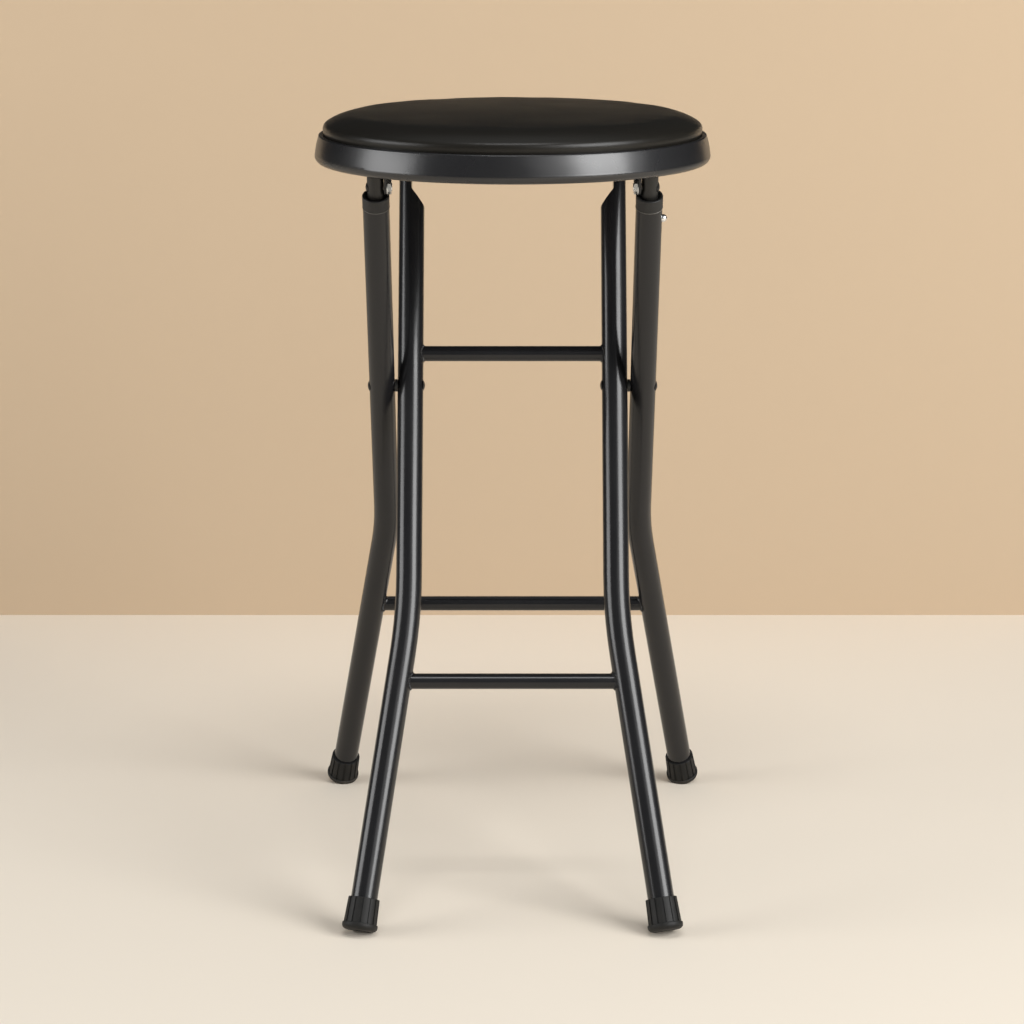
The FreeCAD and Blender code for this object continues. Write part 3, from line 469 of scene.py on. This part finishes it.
def makeCushion(look):
    low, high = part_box("seat_cushion")
    outerRadius = (high.x - low.x) / 2
    path, shoulderRadius = cushionProfile(look, low, high, outerRadius)
    grid, gridFaces, edge = diskGrid(look["gridSteps"])
    ball = (shoulderRadius ** 2 + (look["crown"] * mm) ** 2) / (2 * look["crown"] * mm)
    points, faces = [], list(gridFaces)
    for x, y in grid:
        radius = math.hypot(x, y) * shoulderRadius
        height = high.z - ball + math.sqrt(ball ** 2 - radius ** 2)
        points.append((x * shoulderRadius, y * shoulderRadius, height))
    ring = edge
    for radius, height in path:
        fresh = []
        for corner in edge:
            x, y = grid[corner]
            size = math.hypot(x, y)
            fresh.append(len(points))
            points.append((x / size * radius, y / size * radius, height))
        count = len(ring)
        for i in range(count):
            ahead = (i + 1) % count
            faces.append((ring[i], fresh[i], fresh[ahead], ring[ahead]))
        ring = fresh
    innerRadius, innerHeight = path[-1]
    inner = {corner: ring[i] for i, corner in enumerate(edge)}
    for corner, (x, y) in enumerate(grid):
        if corner not in inner:
            inner[corner] = len(points)
            points.append((x * innerRadius, y * innerRadius, innerHeight))
    faces += [tuple(inner[c] for c in reversed(face)) for face in gridFaces]
    cushion = makeMesh("seatCushion", points, faces, finishes["vinyl"])
    faceOutwards(cushion)
    return cushion


def heldShare(look, radius, height, seam, outerRadius):
    # 1 where the cover is tucked into the tray and under the board, 0 on the free top.
    width, rise = look["heldWidth"] * mm, look["heldRise"] * mm
    side = min(1.0, max(0.0, (radius - (outerRadius - width)) / width))
    down = min(1.0, max(0.0, (seam + rise - height) / rise))
    return max(down, side * look["heldSideShare"])


def evened(moved, mesh, rounds):
    # Neighbouring points share their movement, which takes the ripples out of the tight cover.
    ends = np.array([edge.vertices[:] for edge in mesh.edges])
    count = np.bincount(ends.ravel(), minlength=len(moved))
    for _ in range(rounds):
        total = np.zeros_like(moved)
        np.add.at(total, ends[:, 0], moved[ends[:, 1]])
        np.add.at(total, ends[:, 1], moved[ends[:, 0]])
        moved = 0.5 * moved + 0.5 * total / count
    return moved


def underPressure(cushion, look):
    # The cover's points after air pressure has pushed it out from within, with gravity off.
    modifier = cushion.modifiers.new("pressure", "CLOTH")
    settings = modifier.settings
    settings.quality = look["clothQuality"]
    settings.mass = look["clothMass"]
    settings.tension_stiffness = settings.compression_stiffness = look["stretchStiffness"]
    settings.bending_stiffness = look["bendStiffness"]
    settings.use_pressure = True
    settings.uniform_pressure_force = look["pressure"]
    settings.vertex_group_mass = "held"
    settings.effector_weights.gravity = 0.0
    modifier.collision_settings.use_collision = False
    modifier.point_cache.frame_start, modifier.point_cache.frame_end = 1, look["clothSteps"]
    for step in range(1, look["clothSteps"] + 1):
        bpy.context.scene.frame_set(step)
    shape = cushion.evaluated_get(bpy.context.evaluated_depsgraph_get()).to_mesh()
    after = np.array([v.co[:] for v in shape.vertices])
    cushion.modifiers.remove(modifier)
    bpy.context.scene.frame_set(1)
    return after


def swellCushion(cushion, look):
    # The cover starts a little small, and the movement along its normals is capped and evened.
    low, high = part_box("seat_cushion")
    outerRadius = (high.x - low.x) / 2
    seam = high.z - look["seamDrop"] * mm
    mesh = cushion.data
    before = np.array([v.co[:] for v in mesh.vertices])
    group = cushion.vertex_groups.new(name="held")
    shares = []
    for index, point in enumerate(before):
        share = heldShare(look, math.hypot(point[0], point[1]), point[2], seam, outerRadius)
        shares.append(share)
        group.add([index], 1.0 if share > look["pinnedFrom"] else 0.0, "REPLACE")
    free = 1.0 - np.array(shares)
    outwards = np.array([v.normal[:] for v in mesh.vertices])
    smaller = look["startSmaller"] * mm
    mesh.vertices.foreach_set("co", (before - outwards * (smaller * free)[:, None]).ravel())
    mesh.update()
    after = underPressure(cushion, look)
    swelled = np.einsum("ij,ij->i", after - before, outwards)
    cap = look["moveCap"] * mm
    moved = evened(cap * np.tanh(np.maximum(swelled, 0.0) / cap), mesh, look["evenRounds"])
    largest = round(float(swelled.max()) / mm, 2)
    print("cushion swelled, largest move before the cap:", largest, "mm")
    final = before + outwards * ((moved - smaller) * free)[:, None]
    mesh.vertices.foreach_set("co", final.ravel())
    mesh.update()
    cushion.vertex_groups.clear()
    smooth = cushion.modifiers.new("finer", "SUBSURF")
    smooth.levels = smooth.render_levels = look["finerLevels"]


cushion = makeCushion(cushionForm)
swellCushion(cushion, cushionForm)
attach(cushion, "seat")
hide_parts("seat_cushion")
print("cushion made")


# weld ripples where the crossbars meet the legs, and the lips of the guide collars with a painted highlight

frameForm = {"leanDegrees": 25.628, "crossing": 391.986, "legRadius": 10.2}
weldForm = {
    "barRadius": 6.1, "inset": 0.7, "pathSteps": 72, "beadSegments": 20, "beadRings": 10,
    # place along the frame, distance of the leg from the middle, and the leg's splay in degrees
    "joints": {
        "inner_frame": ((26.172, 81.191, 0.0), (-237.769, 88.944, 8.3907)),
        "outer_frame": ((-228.813, 117.874, 9.2733),),
    },
    "inputs": {
        "Bead Radius": 2.05 * mm, "Bead Thickness": 0.45, "Unevenness": 0.10, "Spacing": 1.15 * mm,
        "Seed": 7,
    },
}
lipForm = {"side": 103.691, "place": 168.95, "radius": 10.28, "thick": 0.24, "around": 96, "across": 12}


def onFrame(body, x, y, z):
    # From millimetres in a leg frame's own plane, with its zero at the crossing, to the stool at rest.
    lean = math.radians(frameForm["leanDegrees"]) * (1 if body == "outer_frame" else -1)
    back = y * math.cos(lean) - z * math.sin(lean)
    up = y * math.sin(lean) + z * math.cos(lean)
    return (x * mm, back * mm, (frameForm["crossing"] + up) * mm)


def makeRippleNodes(look):
    # Flat round beads along a path, each one square to it, like the ripples a welder leaves.
    tree = bpy.data.node_groups.new("weldRipples", "GeometryNodeTree")
    sockets = tree.interface
    sockets.new_socket("Path", in_out="INPUT", socket_type="NodeSocketGeometry")
    for title in ("Bead Radius", "Bead Thickness", "Unevenness", "Spacing"):
        sockets.new_socket(title, in_out="INPUT", socket_type="NodeSocketFloat")
    sockets.new_socket("Seed", in_out="INPUT", socket_type="NodeSocketInt")
    sockets.new_socket("Finish", in_out="INPUT", socket_type="NodeSocketMaterial")
    sockets.new_socket("Ripples", in_out="OUTPUT", socket_type="NodeSocketGeometry")
    given = addNode(tree, "NodeGroupInput").outputs
    curve = addNode(tree, "GeometryNodeMeshToCurve", {"Mesh": given["Path"]}).outputs["Curve"]
    even = addNode(tree, "GeometryNodeResampleCurve", {
        "Curve": curve, "Length": given["Spacing"],
    }, mode="LENGTH").outputs["Curve"]
    bead = addNode(tree, "GeometryNodeMeshUVSphere", {
        "Segments": look["beadSegments"], "Rings": look["beadRings"], "Radius": given["Bead Radius"],
    }).outputs["Mesh"]
    least = addNode(tree, "ShaderNodeMath", {
        0: 1.0, 1: given["Unevenness"],
    }, operation="SUBTRACT").outputs[0]
    size = addNode(tree, "FunctionNodeRandomValue", {
        randomLeast: least, randomMost: 1.0, randomSeed: given["Seed"],
    }, data_type="FLOAT").outputs[randomResult]
    thick = addNode(tree, "ShaderNodeMath", {
        0: size, 1: given["Bead Thickness"],
    }, operation="MULTIPLY").outputs[0]
    scale = addNode(tree, "ShaderNodeCombineXYZ", {"X": size, "Y": size, "Z": thick}).outputs["Vector"]
    along = addNode(tree, "GeometryNodeInputTangent").outputs["Tangent"]
    turned = addNode(tree, "FunctionNodeAlignRotationToVector", {
        "Vector": along,
    }, axis="Z").outputs["Rotation"]
    placed = addNode(tree, "GeometryNodeInstanceOnPoints", {
        "Points": even, "Instance": bead, "Rotation": turned, "Scale": scale,
    }).outputs["Instances"]
    real = addNode(tree, "GeometryNodeRealizeInstances", {"Geometry": placed}).outputs["Geometry"]
    smooth = addNode(tree, "GeometryNodeSetShadeSmooth", {"Geometry": real}).outputs["Geometry"]
    coated = addNode(tree, "GeometryNodeSetMaterial", {
        "Geometry": smooth, "Material": given["Finish"],
    }).outputs["Geometry"]
    addNode(tree, "NodeGroupOutput", {"Ripples": coated})
    return tree


def shapeWithNodes(piece, tree, values):
    # Runs the nodes once and keeps their result as plain mesh.
    modifier = piece.modifiers.new("shape", "NODES")
    modifier.node_group = tree
    for item in tree.interface.items_tree:
        if item.in_out == "INPUT" and item.name in values:
            modifier[item.identifier] = values[item.name]
    graph = bpy.context.evaluated_depsgraph_get()
    finished = bpy.data.meshes.new_from_object(piece.evaluated_get(graph), depsgraph=graph)
    piece.modifiers.remove(modifier)
    piece.data = finished


def makeWelds(body, look, tree):
    # The path follows the saddle curve of bar and leg, a little inside both surfaces.
    points, edges = [], []
    barRadius = look["barRadius"] - look["inset"]
    legRadius = frameForm["legRadius"] - look["inset"]
    steps = look["pathSteps"]
    for place, side, splayDegrees in look["joints"][body]:
        splay = math.radians(splayDegrees)
        for hand in (-1, 1):
            first = len(points)
            for step in range(steps):
                angle = 2 * math.pi * step / steps
                y, rise = barRadius * math.cos(angle), barRadius * math.sin(angle)
                reach = -math.sqrt(legRadius ** 2 - y ** 2)
                x = side + (reach - rise * math.sin(splay)) / math.cos(splay)
                points.append(onFrame(body, hand * x, y, place + rise))
                edges.append((first + step, first + (step + 1) % steps))
    mesh = bpy.data.meshes.new(body + "Welds")
    mesh.from_pydata(points, edges, [])
    welds = bpy.data.objects.new(body + "Welds", mesh)
    bpy.context.scene.collection.objects.link(welds)
    shapeWithNodes(welds, tree, dict(look["inputs"], Finish=finishes["frame_paint"]))
    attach(welds, body)


def makeCollarLipHighlight(name, hand, look):
    # The lower lip of a guide collar, a thin ring on the leg's mouth, pale grey as a painted highlight.
    points, faces = [], []
    around, across = look["around"], look["across"]
    for i in range(around):
        turn = 2 * math.pi * i / around
        for j in range(across):
            tip = 2 * math.pi * j / across
            radius = look["radius"] + look["thick"] * math.cos(tip)
            place = look["place"] + look["thick"] * math.sin(tip)
            x = hand * look["side"] + radius * math.cos(turn)
            points.append(onFrame("outer_frame", x, radius * math.sin(turn), place))
            here, ahead = i * across, (i + 1) % around * across
            above = (j + 1) % across
            faces.append((here + j, ahead + j, ahead + above, here + above))
    lip = makeMesh(name, points, faces, makeMouldedPlastic(name + "Nylon", lipPaintedHighlightLook))
    faceOutwards(lip)
    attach(lip, "outer_frame")


rippleNodes = makeRippleNodes(weldForm)
for body in weldForm["joints"]:
    makeWelds(body, weldForm, rippleNodes)
makeCollarLipHighlight("collarLipHighlightLeft", -1, lipForm)
makeCollarLipHighlight("collarLipHighlightRight", 1, lipForm)
print("welds and collar lips made")


# floor, wall, light and camera

studio = {
    "floor": "#e6dccd", "wall": "#bea98f", "wallY": 0.735, "wallHalf": 0.64, "wallHeight": 0.654,
    "size": 9.0, "roughness": 0.9, "specular": 0.1, "patchMm": 900.0, "patchDetail": 1.0, "darker": 0.985,
    "worldColour": "#eef0f2", "sideStrength": 0.20, "behindStrength": 0.03,
    "behindFrom": 0.10, "behindTo": 0.65, "aboveStrength": 0.40, "aboveFrom": 0.70, "aboveTo": 0.95,
}


def makeStageSurface(name, colourText, corners):
    # Floor and wall are clear from behind, so that the back and the underside can be looked at too.
    material, tree, shader, place = startMaterial(
        name + "Paper", Roughness=studio["roughness"], **{"Specular IOR Level": studio["specular"]}
    )
    patch = addNode(tree, "ShaderNodeTexNoise", {
        "Vector": place, "Scale": perMetre(studio["patchMm"]), "Detail": studio["patchDetail"],
    }).outputs["Fac"]
    colour = linearOf(colourText)
    darker = tuple(c * studio["darker"] for c in colour[:3]) + (1.0,)
    tinted = addNode(tree, "ShaderNodeMix", {
        mixShare: patch, mixFrom: darker, mixTo: colour,
    }, data_type="RGBA").outputs[mixResult]
    tree.links.new(tinted, shader.inputs["Base Color"])
    clear = addNode(tree, "ShaderNodeBsdfTransparent").outputs[0]
    behind = addNode(tree, "ShaderNodeNewGeometry").outputs["Backfacing"]
    both = addNode(tree, "ShaderNodeMixShader", {0: behind, 1: shader.outputs[0], 2: clear}).outputs[0]
    output = [node for node in tree.nodes if node.type == "OUTPUT_MATERIAL"][0]
    tree.links.new(both, output.inputs["Surface"])
    surface = makeMesh(name, corners, [(0, 1, 2, 3)], material, False)


def makeWorld():
    # A plain pale sky, brighter overhead. Behind the wall it is dim, so the seat's top stays dark.
    world = bpy.data.worlds.new("studioWorld")
    world.use_nodes = True
    tree = world.node_tree
    tree.nodes.clear()
    direction = addNode(tree, "ShaderNodeTexCoord").outputs["Generated"]
    heading = addNode(tree, "ShaderNodeSeparateXYZ", {"Vector": direction}).outputs
    around = addNode(tree, "ShaderNodeMapRange", {
        "Value": heading["Y"], "From Min": studio["behindFrom"], "From Max": studio["behindTo"],
        "To Min": studio["sideStrength"], "To Max": studio["behindStrength"],
    }).outputs["Result"]
    above = addNode(tree, "ShaderNodeMapRange", {
        "Value": heading["Z"], "From Min": studio["aboveFrom"], "From Max": studio["aboveTo"],
        "To Min": 0.0, "To Max": studio["aboveStrength"],
    }).outputs["Result"]
    level = addNode(tree, "ShaderNodeMath", {0: around, 1: above}, operation="ADD").outputs[0]
    sky = addNode(tree, "ShaderNodeBackground", {
        "Color": linearOf(studio["worldColour"]), "Strength": level,
    }).outputs[0]
    addNode(tree, "ShaderNodeOutputWorld", {"Surface": sky})
    bpy.context.scene.world = world


lamps = {
    "topStrip": {"place": (0.05, -1.25, 3.0), "aim": (0, 0, 0.6), "size": (1.5, 0.55), "watts": 21},
    "rightCore": {"place": (2.37, -1.86, 1.64), "aim": (0, 0, 0.3), "size": (1.77, 2.14), "watts": 100},
    "rightWing": {"place": (2.34, -2.18, 1.72), "aim": (0, 0, 0.3), "size": (4.5, 2.1), "watts": 32},
    "leftBox": {"place": (-2.44, -0.60, 0.97), "aim": (0, 0, 0.3), "size": (1.50, 1.14), "watts": 28},
}


def addLamp(name, look):
    lamp = bpy.data.lights.new(name, "AREA")
    lamp.shape = "RECTANGLE"
    lamp.size, lamp.size_y = look["size"]
    lamp.energy = look["watts"]
    holder = bpy.data.objects.new(name, lamp)
    holder.location = look["place"]
    towards = Vector(look["aim"]) - Vector(look["place"])
    holder.rotation_euler = towards.to_track_quat("-Z", "Y").to_euler()
    bpy.context.scene.collection.objects.link(holder)


view = {
    "place": (-0.00046, -2.312945, 0.84035), "downDegrees": 13.42, "lens": 104.04, "sensor": 36.0,
    "clipStart": 0.05,
}


def addCamera(look):
    lens = bpy.data.cameras.new("camera")
    lens.lens, lens.sensor_width, lens.clip_start = look["lens"], look["sensor"], look["clipStart"]
    camera = bpy.data.objects.new("camera", lens)
    camera.location = look["place"]
    camera.rotation_euler = (math.radians(90 - look["downDegrees"]), 0, 0)
    bpy.context.scene.collection.objects.link(camera)
    bpy.context.scene.camera = camera


reach, wallY = studio["size"], studio["wallY"]
half, top = studio["wallHalf"], studio["wallHeight"]
floorCorners = [(-reach, -reach, 0), (reach, -reach, 0), (reach, reach, 0), (-reach, reach, 0)]
wallCorners = [(-half, wallY, 0), (half, wallY, 0), (half, wallY, top), (-half, wallY, top)]
makeStageSurface("floor", studio["floor"], floorCorners)
makeStageSurface("wall", studio["wall"], wallCorners)
makeWorld()
for name, look in lamps.items():
    addLamp(name, look)
addCamera(view)
bpy.context.scene.view_settings.view_transform = "Standard"
print("studio and camera set")
